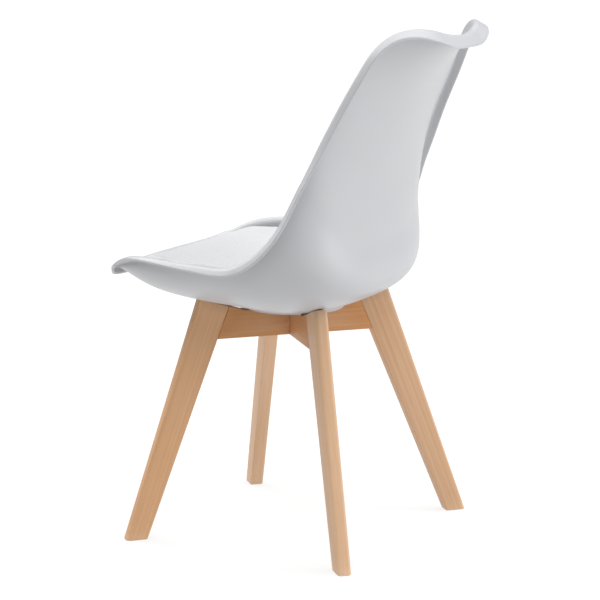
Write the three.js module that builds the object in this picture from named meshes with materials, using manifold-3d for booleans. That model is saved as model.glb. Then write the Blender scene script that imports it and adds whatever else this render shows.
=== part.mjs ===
// Dining chair: a moulded bucket shell with a rolled lip and a padded seat, carried by four tapered
// beech legs on two half-lapped diagonal rails.
// Millimetres, +Z up, floor at z = 0, front of the seat toward -Y, sitter's left toward +X.
import * as THREE from 'three';
import { ParametricGeometry } from 'three/addons/geometries/ParametricGeometry.js';
import { mergeVertices } from 'three/addons/utils/BufferGeometryUtils.js';
import Module from 'manifold-3d';

const wasm = await Module();
wasm.setup();

// ---------- driving dimensions ----------
const GAP = 0.3; // air between pieces that touch
const CROSSING_AHEAD = 28.6; // the rails cross this far in front of the middle of the whole chair's depth

// frame, drawn in two diagonal planes: u runs out from the centre, z up
const DIAGONAL = THREE.MathUtils.degToRad(43.1); // angle of each plane from the X axis
const WOOD = 22; // board thickness
const EDGE = 3; // rounding of the boards' long edges
const RAIL_BOTTOM = 318;
const RAIL_TOP = 362; // flat middle of the rails, under the shell's mounting pad
const FLAT_REACH = 88; // the top starts to rise here, following the bowl
const TOP_SLOPE = 0.317;
const FRONT = { outer: [285.2, 0.324], inner: [250.6, 0.375] }; // u at the floor, lean per mm of height
const REAR = { outer: [297.5, 0.3635], inner: [263.6, 0.4215] };
const DOWEL = { radius: 4, length: 38, heights: [332, 352] };

// fasteners: four bolts from below, through the rails, into inserts in the shell
const BOLT = { reach: 60, radius: 3, headRadius: 5, headHeight: 4, seat: 331, tip: 368.3 };
const WASHER = { radius: 7, thickness: 1.6 };
const COUNTERBORE = 8;
const INSERT = { radius: 4.6, bore: 3.35, bottom: 362.6, top: 368.4 };

// shell, a skin of even wall between a centre-line profile and the side rim
const WALL = 4.4;
const PROFILE = [ // y, z of the centre line, from the front edge over the seat and up the back
  [-232, 431.1], [-151, 388.7], [-41, 371], [71, 370.4], [157, 410.1], [157, 493.4], [160, 598.1],
  [204, 708.7], [282, 801.7],
];
const RIM = [ // x, y, z of the side rim at the same stations
  [181, -215, 443], [218, -136, 454], [228, -52, 453], [229, 27, 457], [218, 85, 501], [199, 118, 577],
  [186, 151, 659], [172, 195, 747], [135, 248, 850],
];
const SPREAD = [94, 88, 77, 67, 53]; // how far round a circle each cross-section bends, degrees
const FULLNESS = [1.60, 1.14, 1.41, 0.93, 1.01]; // flatness of its middle
const FRONT_CORNER = { across: 0.24, along: 0.084 };
const TOP_CORNER = { across: 0.61, along: 0.096 };
const LIP = [ // radius, turn in degrees and straight end, from front centre round the side to top centre
  [9, 131, 7.2], [5.6, 130, 6.4], [8.4, 126, 4.5], [8.7, 134, 6.7], [10.1, 102, 7.5], [6.1, 87, 8.7],
  [5.8, 103, 19], [8.8, 102, 13.9],
];
const MOUNT_PAD = { radius: 80, bottom: RAIL_TOP + GAP, top: 369.2 };

// seat pad, lying in the bowl
const CUSHION = { across: 0.98, front: 0.014, back: 0.5, thickness: 40, clearance: 1.8, square: 8 };

// ---------- materials ----------
const material = (color, roughness, metalness = 0) => (
  new THREE.MeshStandardMaterial({ color, roughness, metalness })
);
const plastic = material(0xd3d5d9, 0.42);
const upholstery = material(0xdfe0e2, 0.55);
const beech = material(0xd2a273, 0.6);
const dowelWood = material(0xc79a6a, 0.7);
const zinc = material(0x9a9da0, 0.35, 1);
const brass = material(0xb9974e, 0.4, 1);

// ---------- small helpers ----------
const { lerp, clamp } = THREE.MathUtils;

// a smooth curve through evenly spaced stations, carried on straight past both ends
function station(rows, t) {
  const last = rows.length - 1;
  const at = (i) => {
    if (i < 0) return rows[0].map((v, k) => 2 * v - rows[1][k]);
    if (i > last) return rows[last].map((v, k) => 2 * v - rows[last - 1][k]);
    return rows[i];
  };
  const u = clamp(t, 0, 1) * last;
  const i = Math.min(Math.floor(u), last - 1);
  const f = u - i;
  const [p, q, r, s] = [at(i - 1), at(i), at(i + 1), at(i + 2)];
  const beyond = (t - clamp(t, 0, 1)) * last;
  return q.map((_, k) => 0.5 * (2 * q[k] + (r[k] - p[k]) * f
    + (2 * p[k] - 5 * q[k] + 4 * r[k] - s[k]) * f * f + (3 * q[k] - p[k] - 3 * r[k] + s[k]) * f * f * f)
    + beyond * (t > 1 ? rows[last][k] - rows[last - 1][k] : rows[1][k] - rows[0][k]));
}
const number = (list, t) => station(list.map((v) => [v]), t)[0];

function toManifold(geometry) {
  const g = geometry.clone();
  g.deleteAttribute('normal');
  g.deleteAttribute('uv');
  const m = mergeVertices(g, 1e-3);
  const index = [];
  for (let i = 0; i < m.index.count; i += 3) {
    const t = [m.index.getX(i), m.index.getX(i + 1), m.index.getX(i + 2)];
    if (new Set(t).size === 3) index.push(...t);
  }
  const vertProperties = new Float32Array(m.attributes.position.array);
  return new wasm.Manifold(new wasm.Mesh({ numProp: 3, vertProperties, triVerts: new Uint32Array(index) }));
}

function toGeometry(solid) {
  const { vertProperties, triVerts, numProp } = solid.getMesh();
  const positions = new Float32Array((vertProperties.length / numProp) * 3);
  for (let i = 0; i < positions.length / 3; i++) {
    for (let k = 0; k < 3; k++) positions[3 * i + k] = vertProperties[numProp * i + k];
  }
  const g = new THREE.BufferGeometry();
  g.setAttribute('position', new THREE.BufferAttribute(positions, 3));
  g.setIndex(new THREE.BufferAttribute(new Uint32Array(triVerts), 1));
  g.computeVertexNormals();
  return g;
}

function mesh(name, geometry, mat) {
  const m = new THREE.Mesh(geometry, mat);
  m.name = name;
  return m;
}

// upright cylinder between two heights, at a point of the floor plan
const upright = (radius, z0, z1, x = 0, y = 0, sides = 24) => (
  new THREE.CylinderGeometry(radius, radius, z1 - z0, sides).rotateX(Math.PI / 2).translate(x, y, (z0 + z1) / 2)
);

// ---------- shell surface ----------
// a runs across from -1 to 1, b along from the front edge (0) to the top edge (1)
function skin(a, b) {
  const [cy, cz] = station(PROFILE, b);
  const [rx, ry, rz] = station(RIM, b);
  const bend = THREE.MathUtils.degToRad(number(SPREAD, b));
  const w = Math.abs(a);
  const across = Math.sin(bend * w) / Math.sin(bend) * Math.sign(a);
  const rise = ((1 - Math.cos(bend * w)) / (1 - Math.cos(bend))) ** number(FULLNESS, b);
  return new THREE.Vector3(rx * across, lerp(cy, ry, rise), lerp(cz, rz, rise));
}

function outward(a, b) { // unit normal on the under and rear side
  const e = 1e-3;
  const du = skin(a + e, b).sub(skin(a - e, b));
  const dv = skin(a, b + e).sub(skin(a, b - e));
  return dv.cross(du).normalize();
}

// the rim in (a, b): front edge, rounded front corner, side, rounded top corner, top edge
function outline(t) {
  const quarter = Math.PI / 2;
  const { across: fa, along: fb } = FRONT_CORNER;
  const { across: ta, along: tb } = TOP_CORNER;
  if (t < 0.14) return [(1 - fa) * t / 0.14, 0];
  if (t < 0.26) {
    const q = (t - 0.14) / 0.12 * quarter;
    return [1 - fa + fa * Math.sin(q), fb - fb * Math.cos(q)];
  }
  if (t < 0.72) return [1, lerp(fb, 1 - tb, (t - 0.26) / 0.46)];
  if (t < 0.86) {
    const q = (t - 0.72) / 0.14 * quarter;
    return [1 - ta + ta * Math.cos(q), 1 - tb + tb * Math.sin(q)];
  }
  return [(1 - ta) * (1 - t) / 0.14, 1];
}

// stations round the rim, mirrored at the front and top centres so that the halves meet smoothly
function roundRim(rows, t) {
  return station([rows[1], ...rows, rows.at(-2)], (1 + (rows.length - 1) * t) / (rows.length + 1));
}
const halfTurn = (s) => (s <= 0.5 ? [2 * s, -1] : [2 - 2 * s, 1]); // round the rim: half and side

// section through wall and lip at one place on the rim: v runs from the inner face's spine over the lip
// to the outer face's spine
const ROWS = { wall: 9, lip: 6, turning: 4, round: 88 }; // mesh rows on each face, and steps round the rim
const STACKS = 2 * (ROWS.wall + ROWS.lip);
const INNER_END = ROWS.wall / STACKS;
const LIP_END = 1 - INNER_END;
const TURNED = ROWS.turning / ROWS.lip; // share of the lip's rows spent on its bend
const shellPoint = (extra) => (s, v, target) => { // extra thickens the skin on both faces
  const wall = WALL / 2 + extra;
  const [t, side] = halfTurn(s);
  const [ra, rb] = outline(t);
  const spine = lerp(0.18, 0.88, rb);
  const ring = (r) => [side * ra * r, lerp(spine, rb, r)];
  if (v < INNER_END + 1e-6 || v > LIP_END - 1e-6) {
    const inner = v < 0.5;
    const r = inner ? v / INNER_END : (1 - v) / (1 - LIP_END);
    const [a, b] = ring(r);
    target.copy(skin(a, b)).addScaledVector(outward(a, b), inner ? -wall : wall);
  } else {
    const [a, b] = ring(1);
    const rim = skin(a, b);
    const out = outward(a, b);
    const along = rim.clone().sub(skin(...ring(0.97)));
    along.addScaledVector(out, -along.dot(out)).normalize();
    const q = (v - INNER_END) / (LIP_END - INNER_END); // 0 inner face, 0.5 lip end, 1 outer face
    const travel = 1 - Math.abs(2 * q - 1);
    const [radius, bend, straight] = roundRim(LIP, t);
    const turn = THREE.MathUtils.degToRad(bend) * Math.min(travel / TURNED, 1);
    const run = straight * Math.max(travel - TURNED, 0) / (1 - TURNED);
    target.copy(rim).addScaledVector(along, radius * Math.sin(turn) + run * Math.cos(turn))
      .addScaledVector(out, radius * (1 - Math.cos(turn)) + run * Math.sin(turn));
    const half = (q < 0.5 ? 1 : -1) * (Math.abs(q - 0.5) < 1e-6 ? 0 : wall);
    target.addScaledVector(out, -Math.cos(turn) * half).addScaledVector(along, Math.sin(turn) * half);
  }
};
const skinGeometry = (extra) => new ParametricGeometry(shellPoint(extra), ROWS.round, STACKS);

function seatShell() {
  let shell = toManifold(skinGeometry(0));
  const { radius, bottom, top } = MOUNT_PAD;
  shell = shell.add(toManifold(upright(radius, bottom, top, 0, 0, 48)));
  for (const [x, y] of boltPlaces()) {
    shell = shell.subtract(toManifold(upright(INSERT.radius + GAP, bottom - 5, INSERT.top + GAP, x, y)));
  }
  return toGeometry(shell);
}

// cushion: a rounded patch of the bowl, its underside following the skin, its top domed
function cushionPoint(s, v, target) {
  const [across, ahead] = [Math.sin(s * 2 * Math.PI), Math.cos(s * 2 * Math.PI)];
  const n = CUSHION.square; // the outline is a square with round corners
  const reach = (Math.abs(across) ** n + Math.abs(ahead) ** n) ** (-1 / n);
  const r = Math.sin(Math.PI * v); // 0 under the middle, 1 at the edge, 0 on top
  const middle = (CUSHION.front + CUSHION.back) / 2;
  const a = CUSHION.across * across * reach * r;
  const b = middle - (CUSHION.back - CUSHION.front) / 2 * ahead * reach * r;
  const base = WALL / 2 + CUSHION.clearance;
  const dome = v > 0.5 ? CUSHION.thickness * (1 - r ** 10) ** 0.5 : 0;
  const edge = v > 0.5 ? 0 : 4 * r ** 6; // the underside lifts a little toward the edge
  target.copy(skin(a, b)).addScaledVector(outward(a, b), -(base + dome + edge));
  if (v > 0.5) target.addScaledVector(outward(a, b), -4 * r ** 6);
}

// ---------- frame ----------
const outerAt = ({ outer }, z) => outer[0] - outer[1] * z;
const innerAt = ({ inner }, z) => inner[0] - inner[1] * z;
// height where a leg's edge meets the rising top line
const topOf = ([foot, lean]) => (RAIL_TOP + TOP_SLOPE * (foot - FLAT_REACH)) / (1 + TOP_SLOPE * lean);

// closed outline in a diagonal plane, extruded to the board's thickness with rounded edges
function board(points, rounding) {
  const shape = new THREE.Shape(points.map(([u, z]) => new THREE.Vector2(u, z)));
  const geometry = new THREE.ExtrudeGeometry(shape, {
    depth: WOOD - 2 * rounding, bevelEnabled: rounding > 0, bevelThickness: rounding, bevelSize: rounding,
    bevelOffset: -rounding, bevelSegments: 3,
  });
  return toManifold(geometry.translate(0, 0, -(WOOD / 2 - rounding)));
}

// everything above the line that the tops of legs and rails share
function aboveTop() {
  const rise = (u) => RAIL_TOP + TOP_SLOPE * (u - FLAT_REACH);
  const points = [[-400, rise(400)], [-FLAT_REACH, RAIL_TOP], [FLAT_REACH, RAIL_TOP], [400, rise(400)],
    [400, 700], [-400, 700]];
  const shape = new THREE.Shape(points.map(([u, z]) => new THREE.Vector2(u, z)));
  const slab = new THREE.ExtrudeGeometry(shape, { depth: 60, bevelEnabled: false });
  return toManifold(slab.translate(0, 0, -30));
}
const trimTop = aboveTop();
// the bowl's skin seen from a board's own frame, to seat the board's top against it
const bowlFrom = (frame) => toManifold(skinGeometry(GAP).applyMatrix4(frame.clone().invert()));
const trimFloor = toManifold(new THREE.BoxGeometry(900, 100, 100).translate(0, -50, 0));

// dowels lie along u, half in the leg and half in the rail
const dowelCentre = (leg, z) => innerAt(leg, z) + 1;
const dowelRod = (leg, z, extra) => new THREE.CylinderGeometry(
  DOWEL.radius + extra, DOWEL.radius + extra, DOWEL.length + 2 * extra, 20,
).rotateZ(Math.PI / 2).translate(dowelCentre(leg, z), z, 0);

function legGeometry(leg, frame) {
  const low = -40;
  const high = topOf(leg.outer) + 60;
  let solid = board([[innerAt(leg, low), low], [outerAt(leg, low), low], [outerAt(leg, high), high],
    [innerAt(leg, high), high]], EDGE);
  solid = solid.subtract(trimTop).subtract(trimFloor).subtract(bowlFrom(frame));
  for (const z of DOWEL.heights) solid = solid.subtract(toManifold(dowelRod(leg, z, GAP)));
  return toGeometry(solid);
}

// one rail: front leg at +u, rear leg at -u; the notch takes half its height where the rails cross
function railGeometry(notchFromTop, frame) {
  const end = (leg, z) => innerAt(leg, z) - GAP;
  const [zFront, zRear] = [topOf(FRONT.inner) + 20, topOf(REAR.inner) + 20];
  let solid = board([[-end(REAR, RAIL_BOTTOM), RAIL_BOTTOM], [end(FRONT, RAIL_BOTTOM), RAIL_BOTTOM],
    [end(FRONT, zFront), zFront], [-end(REAR, zRear), zRear]], 0);
  solid = solid.subtract(trimTop).subtract(bowlFrom(frame));
  // the rails cross a little off square
  const skew = (notchFromTop ? -1 : 1) * (Math.PI / 2 - 2 * DIAGONAL);
  const half = (RAIL_TOP + RAIL_BOTTOM) / 2;
  const [z0, z1] = notchFromTop ? [half - GAP / 2, RAIL_TOP + 10] : [RAIL_BOTTOM - 10, half + GAP / 2];
  const notch = new THREE.BoxGeometry(WOOD + 2 * GAP, z1 - z0, 80).rotateY(skew)
    .translate(0, (z0 + z1) / 2, 0);
  solid = solid.subtract(toManifold(notch));
  for (const u of [-BOLT.reach, BOLT.reach]) {
    const hole = upright(BOLT.radius + GAP, RAIL_BOTTOM - 5, RAIL_TOP + 5);
    const bore = upright(COUNTERBORE, RAIL_BOTTOM - 5, BOLT.seat);
    for (const cut of [hole, bore]) {
      solid = solid.subtract(toManifold(cut.rotateX(-Math.PI / 2).translate(u, 0, 0)));
    }
  }
  for (const z of DOWEL.heights) {
    solid = solid.subtract(toManifold(dowelRod(FRONT, z, GAP)));
    solid = solid.subtract(toManifold(dowelRod(REAR, z, GAP).rotateY(Math.PI)));
  }
  return toGeometry(solid);
}

// group whose X is u, Y is up and Z is across the board
function diagonalGroup(angle) {
  const group = new THREE.Group();
  group.rotation.set(Math.PI / 2, 0, angle, 'ZXY');
  return group;
}

// ---------- fasteners ----------
function boltPlaces() {
  return [-DIAGONAL, Math.PI + DIAGONAL, DIAGONAL, Math.PI - DIAGONAL]
    .map((angle) => [BOLT.reach * Math.cos(angle), BOLT.reach * Math.sin(angle)]);
}
// solid turned about the z axis from its section's r, z points
function turned(section) {
  return new THREE.LatheGeometry(section.map(([r, z]) => new THREE.Vector2(r, z)), 24).rotateX(Math.PI / 2);
}
const ring = (inner, outer, z0, z1) => turned([[inner, z0], [outer, z0], [outer, z1], [inner, z1], [inner, z0]]);

function boltGeometry() { // low round head with a hexagon socket, plain shank
  const under = BOLT.seat - WASHER.thickness - 2 * GAP;
  const head = under - BOLT.headHeight;
  const body = turned([[0, head], [BOLT.headRadius - 1, head], [BOLT.headRadius, head + 1],
    [BOLT.headRadius, under], [BOLT.radius, under], [BOLT.radius, BOLT.tip - 1],
    [BOLT.radius - 0.8, BOLT.tip], [0, BOLT.tip]]);
  const socket = upright(2.3, head - 1, head + 2.4, 0, 0, 6);
  return toGeometry(toManifold(body).subtract(toManifold(socket)));
}

// ---------- assembly ----------
const chair = new THREE.Group();
chair.position.y = -CROSSING_AHEAD;
chair.add(mesh('seat_shell', seatShell(), plastic));
const cushion = toManifold(new ParametricGeometry(cushionPoint, 48, 20));
chair.add(mesh('seat_pad', toGeometry(cushion), upholstery));

const diagonals = [
  { angle: -DIAGONAL, front: 'front_left', rear: 'rear_right', rail: 'rail_lower', notchFromTop: true },
  {
    angle: Math.PI + DIAGONAL, front: 'front_right', rear: 'rear_left', rail: 'rail_upper', notchFromTop: false,
  },
];
for (const { angle, front, rear, rail, notchFromTop } of diagonals) {
  const group = diagonalGroup(angle);
  group.updateMatrix();
  group.add(mesh(rail, railGeometry(notchFromTop, group.matrix), beech));
  for (const [side, leg, turn] of [[front, FRONT, 0], [rear, REAR, Math.PI]]) {
    const arm = new THREE.Group();
    arm.rotation.y = turn;
    arm.updateMatrix();
    arm.add(mesh(`${side}_leg`, legGeometry(leg, group.matrix.clone().multiply(arm.matrix)), beech));
    DOWEL.heights.forEach((z, i) => {
      arm.add(mesh(`${side}_dowel_${i ? 'upper' : 'lower'}`, dowelRod(leg, z, 0), dowelWood));
    });
    group.add(arm);
  }
  chair.add(group);
}

boltPlaces().forEach(([x, y], i) => {
  const side = ['front_left', 'front_right', 'rear_left', 'rear_right'][i];
  const under = BOLT.seat - WASHER.thickness - GAP;
  const place = (name, geometry, mat) => {
    const m = mesh(`${side}_${name}`, geometry, mat);
    m.position.set(x, y, 0);
    chair.add(m);
  };
  place('bolt', boltGeometry(), zinc);
  place('washer', ring(BOLT.radius + GAP, WASHER.radius, under, under + WASHER.thickness), zinc);
  place('insert', ring(INSERT.bore, INSERT.radius, INSERT.bottom, INSERT.top), brass);
});

export default chair;
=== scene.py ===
# Dining chair: the looks, in metres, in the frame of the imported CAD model.
import math

import bmesh
import bpy
import numpy as np
from mathutils import Matrix, Vector
from mathutils.bvhtree import BVHTree


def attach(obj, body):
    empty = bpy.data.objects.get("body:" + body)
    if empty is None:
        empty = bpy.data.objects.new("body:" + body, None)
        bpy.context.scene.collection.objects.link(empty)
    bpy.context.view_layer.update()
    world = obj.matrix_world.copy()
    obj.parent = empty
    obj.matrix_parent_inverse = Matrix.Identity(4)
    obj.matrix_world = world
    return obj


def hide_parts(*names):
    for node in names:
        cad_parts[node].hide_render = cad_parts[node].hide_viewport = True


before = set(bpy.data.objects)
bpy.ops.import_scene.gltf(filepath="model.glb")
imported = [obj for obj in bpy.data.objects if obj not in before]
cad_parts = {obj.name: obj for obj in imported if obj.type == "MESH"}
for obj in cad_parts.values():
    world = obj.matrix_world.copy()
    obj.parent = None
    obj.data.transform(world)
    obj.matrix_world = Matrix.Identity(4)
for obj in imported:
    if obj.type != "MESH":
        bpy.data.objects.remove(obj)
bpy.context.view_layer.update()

MM = 0.001

# ---------- the chair's dimensions, in millimetres, as in the CAD model ----------
CROSSING_AHEAD = 28.6
DIAGONAL = math.radians(43.1)  # of the planes that the legs stand in, from the X axis
WOOD = 22.0
RAIL_TOP = 362.0
FLAT_REACH, TOP_SLOPE = 88.0, 0.317  # the rails' tops rise from here out
FRONT = {"outer": (285.2, 0.324), "inner": (250.6, 0.375)}  # reach at the floor, lean per mm of height
REAR = {"outer": (297.5, 0.3635), "inner": (263.6, 0.4215)}
GAP = 0.3  # air between pieces that touch
WALL = 4.4
# the shell's centre line (y, z) and side rim (x, y, z), at stations from the front edge to the top edge
PROFILE = [(-232, 431.1), (-151, 388.7), (-41, 371), (71, 370.4), (157, 410.1), (157, 493.4), (160, 598.1),
           (204, 708.7), (282, 801.7)]
RIM = [(181, -215, 443), (218, -136, 454), (228, -52, 453), (229, 27, 457), (218, 85, 501), (199, 118, 577),
       (186, 151, 659), (172, 195, 747), (135, 248, 850)]
SPREAD = [94, 88, 77, 67, 53]  # how far round a circle each cross-section bends, degrees
FULLNESS = [1.60, 1.14, 1.41, 0.93, 1.01]  # flatness of its middle
FRONT_CORNER = (0.24, 0.084)  # how far the rounding runs across and along
TOP_CORNER = (0.61, 0.096)
RIM_ENDS = (0.14, 0.26, 0.72, 0.86)  # where the front edge, its corner, the side and the top corner end
SPINE = (0.18, 0.88)  # the stretch of the centre line that the shell's mesh spreads out from
# radius, turn in degrees and straight end of the lip, from front centre round the side to top centre
LIP = [(9, 131, 7.2), (5.6, 130, 6.4), (8.4, 126, 4.5), (8.7, 134, 6.7), (10.1, 102, 7.5), (6.1, 87, 8.7),
       (5.8, 103, 19), (8.8, 102, 13.9)]
BEND_SHARE = 0.6  # of the lip's rows, those spent on its bend
MOUNT_PAD = {"radius": 80.0, "bottom": 362.3, "top": 369.2}
CUSHION = {"across": 0.98, "front": 0.014, "back": 0.50, "thickness": 40.0, "clearance": 1.8, "square": 8}
PIPING = 1.7  # radius of the cord sewn round the pad


# ---------- curves and surfaces ----------
def station(rows, t):
    """Smooth curve through evenly spaced stations, carried on straight past both ends."""
    rows = np.asarray(rows, float)
    rows = rows[:, None] if rows.ndim == 1 else rows
    last = len(rows) - 1
    ends = np.vstack([2 * rows[0] - rows[1], rows, 2 * rows[-1] - rows[-2]])
    t = np.asarray(t, float)
    u = np.clip(t, 0, 1) * last
    i = np.minimum(u.astype(int), last - 1)
    f = (u - i)[..., None]
    p, q, r, s = (ends[i + k] for k in range(4))
    curve = 0.5 * (2 * q + (r - p) * f + (2 * p - 5 * q + 4 * r - s) * f**2 + (3 * q - p - 3 * r + s) * f**3)
    below = np.minimum(t, 0)[..., None] * last * (rows[1] - rows[0])
    above = np.maximum(t - 1, 0)[..., None] * last * (rows[-1] - rows[-2])
    return curve + below + above


def skin(a, b):
    """Middle of the shell's wall: a across from -1 to 1, b from the front edge to the top edge."""
    centre, rim = station(PROFILE, b), station(RIM, b)
    bend = np.radians(station(SPREAD, b)[..., 0])
    w = np.abs(a)
    rise = ((1 - np.cos(bend * w)) / (1 - np.cos(bend))) ** station(FULLNESS, b)[..., 0]
    x = rim[..., 0] * np.sin(bend * w) / np.sin(bend) * np.sign(a)
    y = centre[..., 0] + (rim[..., 1] - centre[..., 0]) * rise
    z = centre[..., 1] + (rim[..., 2] - centre[..., 1]) * rise
    return np.stack([x, y, z], -1)


def unit(v):
    return v / np.linalg.norm(v, axis=-1, keepdims=True)


def outward(a, b):
    e = 1e-3
    return unit(np.cross(skin(a, b + e) - skin(a, b - e), skin(a + e, b) - skin(a - e, b)))


def outline(t):
    """The rim in (a, b), from the front centre round one side to the top centre."""
    t = np.asarray(t, float)
    fa, fb = FRONT_CORNER
    ta, tb = TOP_CORNER
    front, corner, side, top = RIM_ENDS
    q1 = (t - front) / (corner - front) * np.pi / 2
    q2 = (t - side) / (top - side) * np.pi / 2
    up = (t - corner) / (side - corner)
    parts = [t < end for end in RIM_ENDS]
    across = [(1 - fa) * t / front, 1 - fa + fa * np.sin(q1), np.ones_like(t), 1 - ta + ta * np.cos(q2)]
    along = [np.zeros_like(t), fb - fb * np.cos(q1), fb + (1 - tb - fb) * up, 1 - tb + tb * np.sin(q2)]
    a = np.select(parts, across, (1 - ta) * (1 - t) / (1 - top))
    return a, np.select(parts, along, np.ones_like(t))


def round_rim(rows, t):
    """Stations round the rim, mirrored at the front and top centres so that the halves meet smoothly."""
    return station([rows[1], *rows, rows[-2]], (1 + (len(rows) - 1) * t) / (len(rows) + 1))


def shell_rows(steps, rings, lip):
    """Rows of points round the rim, from the inner face's spine over the lip to the outer face's spine."""
    s = np.arange(steps) / steps
    t = np.where(s <= 0.5, 2 * s, 2 - 2 * s)
    side = np.where(s <= 0.5, -1.0, 1.0)
    ra, rb = outline(t)
    spine = SPINE[0] + (SPINE[1] - SPINE[0]) * rb
    at = lambda r: (side * ra * r, spine + (rb - spine) * r)
    inner = [skin(*at(r)) - outward(*at(r)) * WALL / 2 for r in np.linspace(0, 1, rings + 1)]
    outer = [skin(*at(r)) + outward(*at(r)) * WALL / 2 for r in np.linspace(1, 0, rings + 1)]
    rim, out = skin(*at(1.0)), outward(*at(1.0))
    along = rim - skin(*at(0.97))
    along = unit(along - out * np.sum(along * out, -1, keepdims=True))
    radius, bend, straight = np.moveaxis(round_rim(LIP, t), -1, 0)[..., None]
    bend = np.radians(bend)

    def lip_row(travel, half):
        """The lip's skin, a share of the way round its bend and along its straight end."""
        turn = bend * min(travel / BEND_SHARE, 1)
        run = straight * max(travel - BEND_SHARE, 0) / (1 - BEND_SHARE)
        middle = (rim + along * (radius * np.sin(turn) + run * np.cos(turn))
                  + out * (radius * (1 - np.cos(turn)) + run * np.sin(turn)))
        return middle + (along * np.sin(turn) - out * np.cos(turn)) * half

    def lip_end(angle):
        across = along * np.sin(bend) - out * np.cos(bend)
        ahead = along * np.cos(bend) + out * np.sin(bend)
        return lip_row(1, 0) + (across * math.cos(angle) + ahead * math.sin(angle)) * WALL / 2

    over = [lip_row(k / lip, WALL / 2) for k in range(1, lip + 1)]
    end = [lip_end(math.pi * k / 6) for k in range(1, 6)]
    back = [lip_row(k / lip, -WALL / 2) for k in range(lip, 0, -1)]
    return inner + over + end + back + outer


def mesh_object(name, points, faces):
    mesh = bpy.data.meshes.new(name)
    place = (np.asarray(points, float) - (0, CROSSING_AHEAD, 0)) * MM
    mesh.from_pydata(place.tolist(), [], [tuple(f) for f in faces])
    mesh.validate()
    mesh.shade_smooth()
    obj = bpy.data.objects.new(name, mesh)
    bpy.context.collection.objects.link(obj)
    return obj


def grid_faces(rows, steps):
    """Quads between rows of points that each close on themselves."""
    faces = []
    for i in range(rows - 1):
        low, high = i * steps, (i + 1) * steps
        faces += [(low + j, low + (j + 1) % steps, high + (j + 1) % steps, high + j) for j in range(steps)]
    return faces


def merged(obj, distance):
    """Join points closer than a distance in metres, and turn the faces out."""
    bm = bmesh.new()
    bm.from_mesh(obj.data)
    bmesh.ops.remove_doubles(bm, verts=bm.verts, dist=distance)
    bmesh.ops.recalc_face_normals(bm, faces=bm.faces)
    bm.to_mesh(obj.data)
    bm.free()
    return obj


def applied(obj):
    """Turn an object's modifiers into its mesh."""
    graph = bpy.context.evaluated_depsgraph_get()
    mesh = bpy.data.meshes.new_from_object(obj.evaluated_get(graph))
    obj.modifiers.clear()
    obj.data = mesh
    return obj


# ---------- node helpers ----------
class Nodes:
    """A small builder for one material's node tree."""

    def __init__(self, name):
        self.material = bpy.data.materials.new(name)
        self.material.use_nodes = True
        self.tree = self.material.node_tree
        self.bsdf = self.tree.nodes["Principled BSDF"]

    def add(self, kind, inputs=None, **settings):
        node = self.tree.nodes.new(kind)
        for key, value in settings.items():
            setattr(node, key, value)
        for key, value in (inputs or {}).items():
            self.put(node.inputs[key], value)
        return node

    def put(self, socket, value):
        if isinstance(value, bpy.types.NodeSocket):
            self.tree.links.new(value, socket)
        else:
            socket.default_value = value

    def set(self, **values):
        for key, value in values.items():
            self.put(self.bsdf.inputs[key.replace("_", " ")], value)

    def scaled(self, vector, scale, location=(0, 0, 0)):
        node = self.add("ShaderNodeMapping", {"Vector": vector, "Scale": scale, "Location": location})
        return node.outputs["Vector"]

    def noise(self, vector, scale, detail=3.0, roughness=0.5):
        node = self.add("ShaderNodeTexNoise", {"Vector": vector, "Scale": scale, "Detail": detail,
                                               "Roughness": roughness})
        return node.outputs["Fac"]

    def remap(self, value, low, high, to_low=0.0, to_high=1.0):
        node = self.add("ShaderNodeMapRange", {"Value": value, "From Min": low, "From Max": high,
                                               "To Min": to_low, "To Max": to_high})
        return node.outputs["Result"]

    def math(self, operation, a, b=0.0):
        node = self.add("ShaderNodeMath", operation=operation)
        self.put(node.inputs[0], a)
        self.put(node.inputs[1], b)
        return node.outputs[0]

    def mix(self, factor, a, b):
        node = self.add("ShaderNodeMix", data_type="RGBA")
        self.put(node.inputs[0], factor)
        self.put(node.inputs[6], a)
        self.put(node.inputs[7], b)
        return node.outputs[2]

    def bump(self, height, distance, strength=1.0, normal=None):
        node = self.add("ShaderNodeBump", {"Height": height, "Distance": distance, "Strength": strength})
        if normal is not None:
            self.put(node.inputs["Normal"], normal)
        return node.outputs["Normal"]


def plastic_material():
    n = Nodes("shell_plastic")
    here = n.add("ShaderNodeTexCoord").outputs["Object"]
    cloud = n.noise(here, 6.0, 4.0)
    grain = n.noise(here, 1400.0, 2.0)
    pits = n.add("ShaderNodeTexVoronoi", {"Vector": here, "Scale": 900.0}, feature="SMOOTH_F1")
    edge = n.remap(n.add("ShaderNodeNewGeometry").outputs["Pointiness"], 0.52, 0.60)
    scuff = n.math("MULTIPLY", edge, n.remap(n.noise(here, 60.0, 5.0), 0.45, 0.7))
    colour = n.mix(cloud, (0.465, 0.471, 0.489, 1), (0.487, 0.492, 0.509, 1))
    n.set(Base_Color=n.mix(n.math("MULTIPLY", scuff, 0.25), colour, (0.60, 0.60, 0.60, 1)),
          Roughness=n.math("ADD", n.remap(grain, 0.3, 0.7, 0.34, 0.42), n.math("MULTIPLY", scuff, 0.1)),
          IOR=1.49, Specular_IOR_Level=0.45)
    fine = n.bump(n.math("ADD", grain, pits.outputs["Distance"]), 0.00006, 0.55)
    n.set(Normal=n.bump(n.noise(here, 14.0, 2.0), 0.0006, 0.35, fine))
    return n.material


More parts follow.
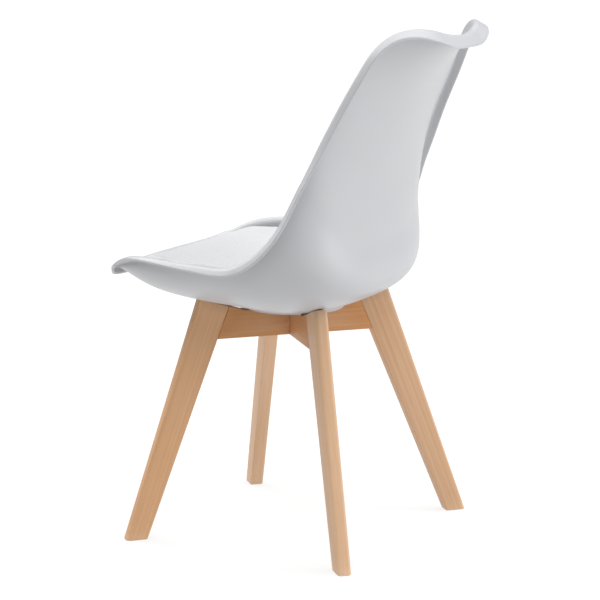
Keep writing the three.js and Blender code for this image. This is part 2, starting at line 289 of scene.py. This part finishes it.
def beech_material(name, light, dark, offset):
    n = Nodes(name)
    board = n.add("ShaderNodeAttribute", attribute_name="grain").outputs["Vector"]
    here = n.scaled(board, (1, 1, 1), offset)
    wander = n.noise(n.scaled(here, (3.0, 14.0, 14.0)), 1.0, 3.0)
    rings = n.add("ShaderNodeTexWave", {"Vector": n.scaled(here, (0.9, 42.0, 13.0)), "Scale": 1.0,
                                        "Distortion": 5.5, "Detail": 3.0, "Detail Scale": 1.2,
                                        "Detail Roughness": 0.55}, bands_direction="Y").outputs["Fac"]
    fibre = n.noise(n.scaled(here, (14.0, 900.0, 900.0)), 1.0, 4.0, 0.65)
    streak = n.noise(n.scaled(here, (3.0, 160.0, 160.0)), 1.0, 3.0)
    fleck = n.add("ShaderNodeTexVoronoi", {"Vector": n.scaled(here, (210.0, 1500.0, 1500.0)), "Scale": 1.0,
                                           "Randomness": 1.0}).outputs["Distance"]
    fleck = n.math("MULTIPLY", n.remap(fleck, 0.16, 0.05), n.remap(n.noise(here, 130.0, 2.0), 0.48, 0.62))
    tone = n.math("MULTIPLY", rings, 0.22)
    tone = n.math("ADD", tone, n.math("MULTIPLY", n.remap(streak, 0.3, 0.7), 0.38))
    tone = n.math("ADD", tone, n.math("MULTIPLY", n.remap(wander, 0.3, 0.7), 0.40))
    colour = n.mix(tone, light, dark)
    colour = n.mix(n.math("MULTIPLY", n.remap(fibre, 0.52, 0.75), 0.22), colour, (0.33, 0.17, 0.075, 1))
    colour = n.mix(n.math("MULTIPLY", fleck, 0.55), colour, (0.30, 0.15, 0.065, 1))
    # painted highlight: the eased edges turn lighter, as where the light catches them
    painted_edge_highlight = n.remap(n.add("ShaderNodeNewGeometry").outputs["Pointiness"], 0.51, 0.58, 0.0, 0.25)
    n.set(Base_Color=n.mix(painted_edge_highlight, colour, (0.86, 0.67, 0.47, 1)),
          Roughness=n.remap(fibre, 0.3, 0.7, 0.44, 0.60), IOR=1.5, Specular_IOR_Level=0.4)
    height = n.math("SUBTRACT", n.math("MULTIPLY", fibre, 0.6), n.math("MULTIPLY", fleck, 0.5))
    n.set(Normal=n.bump(height, 0.00010, 0.5))
    return n.material


def upholstery_material():
    n = Nodes("pad_cover")
    here = n.add("ShaderNodeTexCoord").outputs["Object"]
    warped = n.add("ShaderNodeVectorMath", operation="ADD")
    n.put(warped.inputs[0], here)
    shift = n.add("ShaderNodeTexNoise", {"Vector": here, "Scale": 220.0}).outputs["Color"]
    push = n.add("ShaderNodeVectorMath", operation="SCALE")
    n.put(push.inputs[0], shift)
    push.inputs["Scale"].default_value = 0.0009
    n.put(warped.inputs[1], push.outputs[0])
    pebble = n.add("ShaderNodeTexVoronoi", {"Vector": warped.outputs[0], "Scale": 620.0},
                   feature="DISTANCE_TO_EDGE").outputs["Distance"]
    crease = n.remap(pebble, 0.0, 0.16)
    pore = n.noise(here, 1500.0, 2.0)
    cloud = n.noise(here, 9.0, 3.0)
    base = n.mix(cloud, (0.545, 0.547, 0.560, 1), (0.565, 0.567, 0.578, 1))
    # painted shade: the pebble grain's creases are darker
    n.set(Base_Color=n.mix(crease, (0.44, 0.443, 0.455, 1), base),
          Roughness=n.remap(crease, 0.0, 1.0, 0.62, 0.46), IOR=1.45, Specular_IOR_Level=0.4)
    n.bsdf.inputs["Sheen Weight"].default_value = 0.05
    n.set(Normal=n.bump(n.math("ADD", crease, n.math("MULTIPLY", pore, 0.3)), 0.00012, 0.7))
    return n.material


def metal_material(name, colour, roughness):
    n = Nodes(name)
    here = n.add("ShaderNodeTexCoord").outputs["Object"]
    brushed = n.noise(n.scaled(here, (1500.0, 1500.0, 120.0)), 1.0, 3.0)
    stain = n.noise(here, 400.0, 4.0)
    n.set(Base_Color=n.mix(n.remap(stain, 0.45, 0.75), colour, tuple(0.7 * c for c in colour[:3]) + (1,)),
          Metallic=1.0, Roughness=n.remap(brushed, 0.3, 0.7, roughness - 0.08, roughness + 0.12))
    n.set(Normal=n.bump(brushed, 0.00004, 0.5))
    return n.material


def floor_material():
    n = Nodes("floor")
    here = n.add("ShaderNodeTexCoord").outputs["Object"]
    n.set(Base_Color=(0.22, 0.22, 0.22, 1), Roughness=n.remap(n.noise(here, 3.0), 0.3, 0.7, 0.75, 0.85),
          Specular_IOR_Level=0.0, Emission_Color=(1, 1, 1, 1), Emission_Strength=0.74)
    return n.material


# ---------- shell ----------
def build_shell():
    steps = 400
    rows = shell_rows(steps, rings=44, lip=14)
    return merged(mesh_object("shell", np.concatenate(rows), grid_faces(len(rows), steps)), 2e-6)


def build_mount_pad():
    """Round pad under the shell, with a small radius on its rim, blended up into the wall."""
    r, z0, z1 = MOUNT_PAD["radius"], MOUNT_PAD["bottom"], MOUNT_PAD["top"]
    profile = [(0, z0), (r - 1.2, z0), (r - 0.4, z0 + 0.35), (r, z0 + 1.2), (r, z1 - 2.2), (r + 0.8, z1),
               (0, z1)]
    steps = 160
    ring = np.arange(steps) * 2 * np.pi / steps
    rows = [np.stack([r * np.cos(ring), r * np.sin(ring), np.full(steps, z)], -1) for r, z in profile]
    obj = merged(mesh_object("shell_mount_pad", np.concatenate(rows), grid_faces(len(rows), steps)), 1e-7)
    obj.data.set_sharp_from_angle(angle=math.radians(35))
    return obj


# ---------- wood ----------
def top_line(u):
    return RAIL_TOP + TOP_SLOPE * max(abs(u) - FLAT_REACH, 0)


def bowl_height(tree, x, y):
    """Underside of the bowl over a point of the floor plan, in millimetres."""
    start = Vector((x * MM, (y - CROSSING_AHEAD) * MM, 0.30))  # in the open, under the bowl
    hit = tree.ray_cast(start, Vector((0, 0, 1)), 0.3)[0]
    return hit.z / MM if hit else 1e9


def grain_attribute(obj, along, across):
    """Each point's place in the board's own frame, in metres, for the wood texture."""
    along, across = Vector(along).normalized(), Vector(across)
    across = (across - along * across.dot(along)).normalized()
    through = along.cross(across)
    data = obj.data.attributes.new("grain", "FLOAT_VECTOR", "POINT").data
    for v in obj.data.vertices:
        data[v.index].vector = (v.co.dot(along), v.co.dot(across), v.co.dot(through))


def build_leg(name, angle, leg, tree):
    """Tapered board with a round-nosed outer edge, lofted along straight lines from foot to top."""
    d = np.array([math.cos(angle), math.sin(angle)])
    n = np.array([-math.sin(angle), math.cos(angle)])
    outer, inner = leg["outer"], leg["inner"]
    nose, ease, half = 6.0, 2.2, WOOD / 2  # roundings of the outer and inner edges
    chamfer = 0.9  # round the foot and the top
    # each line: edge it follows, how far in from that edge, and its place across the board
    lines = []
    for sign in (1, -1):
        arc = [("outer", nose - nose * math.sin(q), sign * (half - nose + nose * math.cos(q)))
               for q in np.linspace(math.pi / 2, 0, 7)]
        small = [("inner", ease - ease * math.cos(q), sign * (half - ease + ease * math.sin(q)))
                 for q in np.linspace(math.pi / 2, 0, 5)]
        lines += (arc + small) if sign == 1 else (arc + small)[::-1]

    def place(edge, inset, z):
        return (outer[0] - outer[1] * z - inset) if edge == "outer" else (inner[0] - inner[1] * z + inset)

    tops = []  # where each line meets the rails' top line or the bowl, found by stepping closer
    for edge, inset, across in lines:
        z = RAIL_TOP + 8
        for _ in range(12):
            u = place(edge, inset, z)
            x, y = d * u + n * across
            z = min(top_line(u), bowl_height(tree, x, y) - GAP)
        tops.append(z)
    rows = []
    for share in [0.0, 0.003, *np.linspace(0.04, 0.997, 26), 1.0]:
        cut = chamfer if share in (0, 1) else 0.0
        row = []
        for (edge, inset, across), top in zip(lines, tops):
            u = place(edge, inset + cut, share * top)
            row.append([*(d * u + n * across * (1 - cut / half)), share * top])
        rows.append(row)
    count, total = len(lines), len(rows) * len(lines)
    faces = grid_faces(len(rows), count) + [tuple(range(count))[::-1], tuple(range(total - count, total))]
    obj = merged(mesh_object(name, np.concatenate(rows), faces), 1e-7)
    obj.data.set_sharp_from_angle(angle=math.radians(38))
    lean = (outer[1] + inner[1]) / 2
    grain_attribute(obj, (-lean * d[0], -lean * d[1], 1), (d[0], d[1], 0))
    return obj


def build_rail(name, node, angle):
    """The CAD rail with its flat faces joined up and its edges eased."""
    obj = bpy.data.objects.new(name, bpy.data.objects[node].data.copy())
    bpy.context.collection.objects.link(obj)
    bm = bmesh.new()
    bm.from_mesh(obj.data)
    bmesh.ops.remove_doubles(bm, verts=bm.verts, dist=1e-6)
    bmesh.ops.dissolve_limit(bm, angle_limit=math.radians(1), verts=bm.verts, edges=bm.edges)
    along = Vector((math.cos(angle), math.sin(angle), 0))
    crossing = Vector((0, -CROSSING_AHEAD * MM, 0))
    reach = 110  # about how far from the crossing the legs are
    for v in bm.verts:  # the ends close up to the legs
        v.co += along * (v.co - crossing).dot(along) * GAP / reach
    bm.to_mesh(obj.data)
    bm.free()
    bevel = obj.modifiers.new("ease", "BEVEL")
    bevel.width, bevel.segments, bevel.limit_method = 0.0005, 2, "ANGLE"
    bevel.angle_limit = math.radians(40)
    applied(obj)
    obj.data.shade_smooth()
    obj.data.set_sharp_from_angle(angle=math.radians(30))
    grain_attribute(obj, along, (0, 0, 1))
    return obj


# ---------- seat pad ----------
def cushion_place(steps, r):
    """A ring of the pad in (a, b): a square with round corners, r being its share of the full outline."""
    angle = np.arange(steps) * 2 * np.pi / steps
    n = CUSHION["square"]
    r = r * (np.abs(np.sin(angle)) ** n + np.abs(np.cos(angle)) ** n) ** (-1 / n)
    middle, reach = (CUSHION["front"] + CUSHION["back"]) / 2, (CUSHION["back"] - CUSHION["front"]) / 2
    return CUSHION["across"] * np.sin(angle) * r, middle - reach * np.cos(angle) * r


def cushion_mesh(name, shrink):
    """The space the pad lies in: underside on the bowl, domed top; shrink pulls it in before it swells."""
    steps, rings = 160, 30
    rows = []
    for k in range(2 * rings + 1):
        v = k / (2 * rings)
        r = math.sin(math.pi * v) * (1 - shrink)
        a, b = cushion_place(steps, r)
        full = r / (1 - shrink)
        lift = CUSHION["clearance"] + WALL / 2 + 2.5 * full**6 + 1  # a little clear, and more at the edge
        if v > 0.5:
            lift += (CUSHION["thickness"] - 5) * (1 - full**7) ** 0.6  # room to swell, and a soft shoulder
        rows.append(skin(a, b) - outward(a, b) * lift)
    return merged(mesh_object(name, np.concatenate(rows), grid_faces(len(rows), steps)), 1e-6)


def build_piping(pad):
    """Sewn cord round the pad, where the top panel meets the underside."""
    steps, around = 240, 10
    a, b = cushion_place(steps, 1.02)
    wanted = skin(a, b) - outward(a, b) * (CUSHION["clearance"] + WALL / 2 + 7)
    surface = BVHTree.FromObject(pad, bpy.context.evaluated_depsgraph_get())
    seam = []
    for point in (wanted - (0, CROSSING_AHEAD, 0)) * MM:
        place, normal = surface.find_nearest(Vector(point))[:2]
        seam.append([*((place + normal * 0.0004) / MM + Vector((0, CROSSING_AHEAD, 0)))])
    seam = np.array(seam)
    for _ in range(6):
        seam = (np.roll(seam, 1, 0) + 2 * seam + np.roll(seam, -1, 0)) / 4
    ahead = unit(np.roll(seam, -1, 0) - np.roll(seam, 1, 0))
    side = unit(np.cross(ahead, -outward(a, b)))
    top = np.cross(side, ahead)
    turns = np.arange(around) * 2 * np.pi / around
    rows = [seam + PIPING * (side * math.cos(q) + top * math.sin(q)) for q in turns]
    rows.append(rows[0])
    return merged(mesh_object("pad_piping", np.concatenate(rows), grid_faces(len(rows), steps)), 1e-6)


def build_pad():
    limit = 0.006  # how far a point may move
    pad = cushion_mesh("pad", 0.012)
    remesh = pad.modifiers.new("remesh", "REMESH")
    remesh.mode, remesh.voxel_size = "VOXEL", 0.005
    applied(pad)
    rest = [v.co.copy() for v in pad.data.vertices]
    cloth = pad.modifiers.new("cloth", "CLOTH")
    cloth.settings.use_pressure, cloth.settings.uniform_pressure_force = True, 4.0
    cloth.settings.effector_weights.gravity = 0
    cloth.settings.quality = 5
    for f in range(1, 21):
        bpy.context.scene.frame_set(f)
    applied(pad)
    bpy.context.scene.frame_set(1)
    for v, start in zip(pad.data.vertices, rest):
        move = v.co - start
        if move.length > limit:
            v.co = start + move.normalized() * limit
    sub = pad.modifiers.new("subdivide", "SUBSURF")
    sub.levels = 1
    applied(pad)
    pad.data.shade_smooth()
    return pad


# ---------- make the pieces ----------
plastic, upholstery = plastic_material(), upholstery_material()
zinc = metal_material("zinc", (0.60, 0.61, 0.63, 1), 0.34)
brass = metal_material("brass", (0.70, 0.53, 0.25, 1), 0.38)


def finish_piece(obj, material, slot, *nodes):
    obj.data.materials.clear()
    obj.data.materials.append(material)
    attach(obj, "root")
    if nodes:
        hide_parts(*nodes)
    return obj


shell = build_shell()
bowl = BVHTree.FromObject(shell, bpy.context.evaluated_depsgraph_get())
finish_piece(shell, plastic, "shell_plastic", "seat_shell")
finish_piece(build_mount_pad(), plastic, "shell_plastic")

pad = finish_piece(build_pad(), upholstery, "pad_cover", "seat_pad")
finish_piece(build_piping(pad), upholstery, "pad_cover")

# each leg's angle, edges, and light and dark wood, the pair set lighter or darker for each leg by the light
# that leg gets (painted light and shade)
LEGS = {
    "front_left": (-DIAGONAL, FRONT, (0.66, 0.396, 0.222, 1), (0.54, 0.284, 0.130, 1)),
    "front_right": (math.pi + DIAGONAL, FRONT, (0.72, 0.478, 0.312, 1), (0.59, 0.355, 0.197, 1)),
    "rear_left": (DIAGONAL, REAR, (0.67, 0.450, 0.295, 1), (0.545, 0.325, 0.178, 1)),
    "rear_right": (math.pi - DIAGONAL, REAR, (0.64, 0.408, 0.252, 1), (0.515, 0.290, 0.148, 1)),
}
for k, (side, (angle, leg, light, dark)) in enumerate(LEGS.items()):
    wood = beech_material(f"beech_{side}", light, dark, (0.37 * k, 0.11 * k, 0.053 * k))
    finish_piece(build_leg(f"{side}_leg_wood", angle, leg, bowl), wood, "beech", f"{side}_leg")
    for level in ("lower", "upper"):
        dowel = bpy.data.objects[f"{side}_dowel_{level}"]
        dowel.data.materials.clear()
        dowel.data.materials.append(wood)

# painted shade: the rails' wood is darker and more saturated than the legs', standing in for the shade under
# the seat
RAILS = {
    "rail_lower": (-DIAGONAL, (0.58, 0.268, 0.092, 1), (0.465, 0.185, 0.050, 1)),
    "rail_upper": (DIAGONAL, (0.58, 0.275, 0.108, 1), (0.465, 0.192, 0.063, 1)),
}
for k, (node, (angle, light, dark)) in enumerate(RAILS.items()):
    wood = beech_material(f"beech_{node}", light, dark, (2.1 + 0.41 * k, 0.3, 0.17 * k))
    finish_piece(build_rail(f"{node}_wood", node, angle), wood, "beech", node)

for side in LEGS:
    for part, metal in (("bolt", zinc), ("washer", zinc), ("insert", brass)):
        node = bpy.data.objects[f"{side}_{part}"]
        node.data.materials.clear()
        node.data.materials.append(metal)

# ---------- studio ----------
bpy.ops.mesh.primitive_plane_add(size=40)
floor = bpy.context.object
floor.name = "floor"
floor.data.materials.append(floor_material())

world = bpy.data.worlds.new("studio")
bpy.context.scene.world = world
world.use_nodes = True
world.node_tree.nodes["Background"].inputs["Color"].default_value = (1, 1, 1, 1)
world.node_tree.nodes["Background"].inputs["Strength"].default_value = 0.16


def softbox(name, place, aim, size, power):
    light = bpy.data.lights.new(name, "AREA")
    light.shape, light.size, light.size_y, light.energy = "RECTANGLE", size[0], size[1], power
    obj = bpy.data.objects.new(name, light)
    bpy.context.collection.objects.link(obj)
    obj.location = place
    obj.rotation_euler = (Vector(aim) - Vector(place)).to_track_quat("-Z", "Y").to_euler()
    return obj


softbox("key", (-1.3, 2.8, 1.35), (0, 0, 0.5), (1.4, 2.2), 50)
softbox("fill", (-0.8, -2.6, 2.3), (0, 0, 0.6), (2.0, 2.0), 30)
sky = bpy.data.lights.new("overhead", "SUN")
sky.energy, sky.angle = 4.1, math.radians(100)
overhead = bpy.data.objects.new("overhead", sky)
bpy.context.collection.objects.link(overhead)

# ---------- camera: behind the sitter's left side, a little above level ----------
azimuth, elevation, distance = math.radians(117.94), math.radians(10.94), 3.940
level = Vector((math.sin(azimuth), -math.cos(azimuth), 0))
back = level * math.cos(elevation) + Vector((0, 0, math.sin(elevation)))
right = Vector((math.cos(azimuth), math.sin(azimuth), 0))
up = back.cross(right)
crossing = Vector((0, -CROSSING_AHEAD * MM, 0.38256))
aim = crossing + right * 0.00928 - up * 0.01138
camera = bpy.data.objects.new("camera", bpy.data.cameras.new("camera"))
bpy.context.collection.objects.link(camera)
camera.location = aim + back * distance
camera.rotation_mode = "QUATERNION"
camera.rotation_quaternion = Matrix((right, up, back)).transposed().to_quaternion()
camera.data.lens, camera.data.sensor_width = 147.66, 36
camera.data.clip_end = 100
bpy.context.scene.camera = camera
bpy.context.scene.view_settings.view_transform = "Standard"
